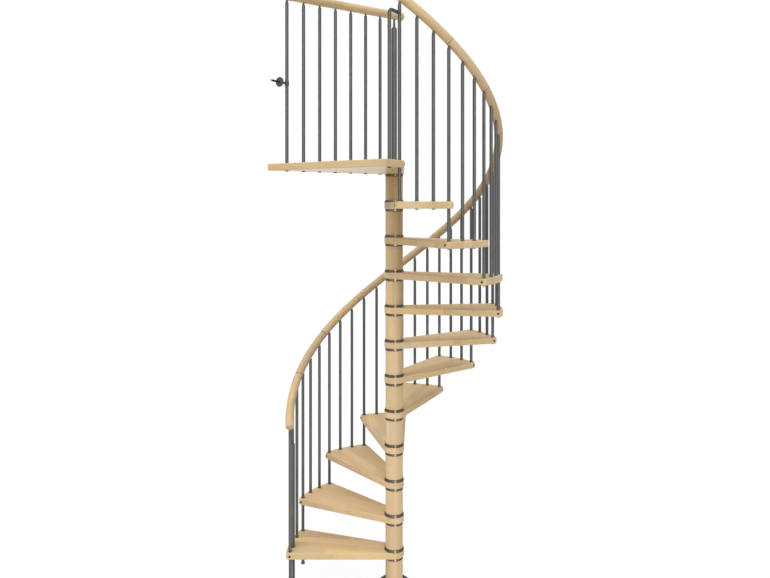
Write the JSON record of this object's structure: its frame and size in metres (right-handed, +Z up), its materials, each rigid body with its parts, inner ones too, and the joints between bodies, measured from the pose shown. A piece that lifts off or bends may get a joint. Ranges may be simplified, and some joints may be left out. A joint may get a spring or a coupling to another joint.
{
  "type": "spiral staircase",
  "caption": "Spiral staircase: wedge treads and turned sleeves threaded on a central pole, round steel balusters, a helical wooden handrail and a railed top landing.",
  "frame": {"origin": "on the floor, at the column's axis, on the underside of the base flange", "axes": "+Z up along the column; the picture looks along +Y with +X to the right"},
  "size_m": [1.4448, 1.5191, 3.7189],
  "materials": {
    "tread_wood": "clear satin varnish on pale beech",
    "column_wood": "clear satin varnish on turned pale beech",
    "rail_wood": "clear satin varnish on pale beech",
    "rod_steel": "satin dark grey powder coat",
    "ring_metal": "satin dark grey powder coat",
    "flange_steel": "satin dark grey powder coat",
    "pole_steel": "plain steel tube, hidden inside the column"
  },
  "bodies": {
    "root": {"balusters_01": "rod_steel", "balusters_02": "rod_steel", "balusters_03": "rod_steel", "balusters_04": "rod_steel", "balusters_05": "rod_steel", "balusters_06": "rod_steel", "balusters_07": "rod_steel", "balusters_08": "rod_steel", "balusters_09": "rod_steel", "balusters_10": "rod_steel", "balusters_11": "rod_steel", "base_flange": "flange_steel", "centre_pole": "pole_steel", "collar_rings": "ring_metal", "column_sleeves": "column_wood", "corner_baluster": "rod_steel", "corner_hoop": "rod_steel", "handrail_01": "rail_wood", "handrail_02": "rail_wood", "handrail_03": "rail_wood", "handrail_04": "rail_wood", "handrail_05": "rail_wood", "handrail_06": "rail_wood", "handrail_07": "rail_wood", "handrail_08": "rail_wood", "handrail_09": "rail_wood", "handrail_10": "rail_wood", "handrail_11": "rail_wood", "landing": "tread_wood", "landing_balusters": "rod_steel", "landing_handrail": "rail_wood", "landing_post": "rod_steel", "newel_post": "rod_steel", "tread_01": "tread_wood", "tread_02": "tread_wood", "tread_03": "tread_wood", "tread_04": "tread_wood", "tread_05": "tread_wood", "tread_06": "tread_wood", "tread_07": "tread_wood", "tread_08": "tread_wood", "tread_09": "tread_wood", "tread_10": "tread_wood", "tread_11": "tread_wood", "wall_bracket": "rod_steel"}
  },
  "joints": []
}
